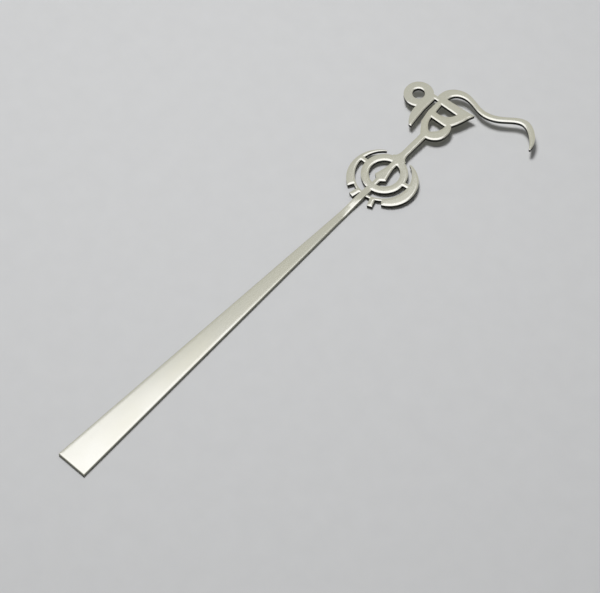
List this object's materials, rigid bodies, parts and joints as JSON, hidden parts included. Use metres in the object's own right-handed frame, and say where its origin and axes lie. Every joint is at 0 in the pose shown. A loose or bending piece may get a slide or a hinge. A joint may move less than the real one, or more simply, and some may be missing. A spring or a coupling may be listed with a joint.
{
  "type": "bookmark",
  "caption": "Flat metal bookmark: a tapered blade goes between the pages, and a pierced emblem and sign on a slightly raised head stay above them.",
  "frame": {"origin": "on the underside of the blade, on its centre line, halfway along the blade", "axes": "+Y along the blade towards the head, +Z out of the show face, +X to the right of the show face"},
  "size_m": [0.035, 0.1397, 0.0037],
  "materials": {
    "silver": "satin silver with soft bright edges and dark cut walls"
  },
  "bodies": {
    "root": {"blade": "silver", "neck": "silver", "ring": "silver", "centre_sword": "silver", "left_kirpan": "silver", "right_kirpan": "silver", "left_hilt": "silver", "right_hilt": "silver", "left_bridge": "silver", "right_bridge": "silver", "stem": "silver", "oora": "silver", "figure_one": "silver", "kar": "silver"}
  },
  "joints": []
}
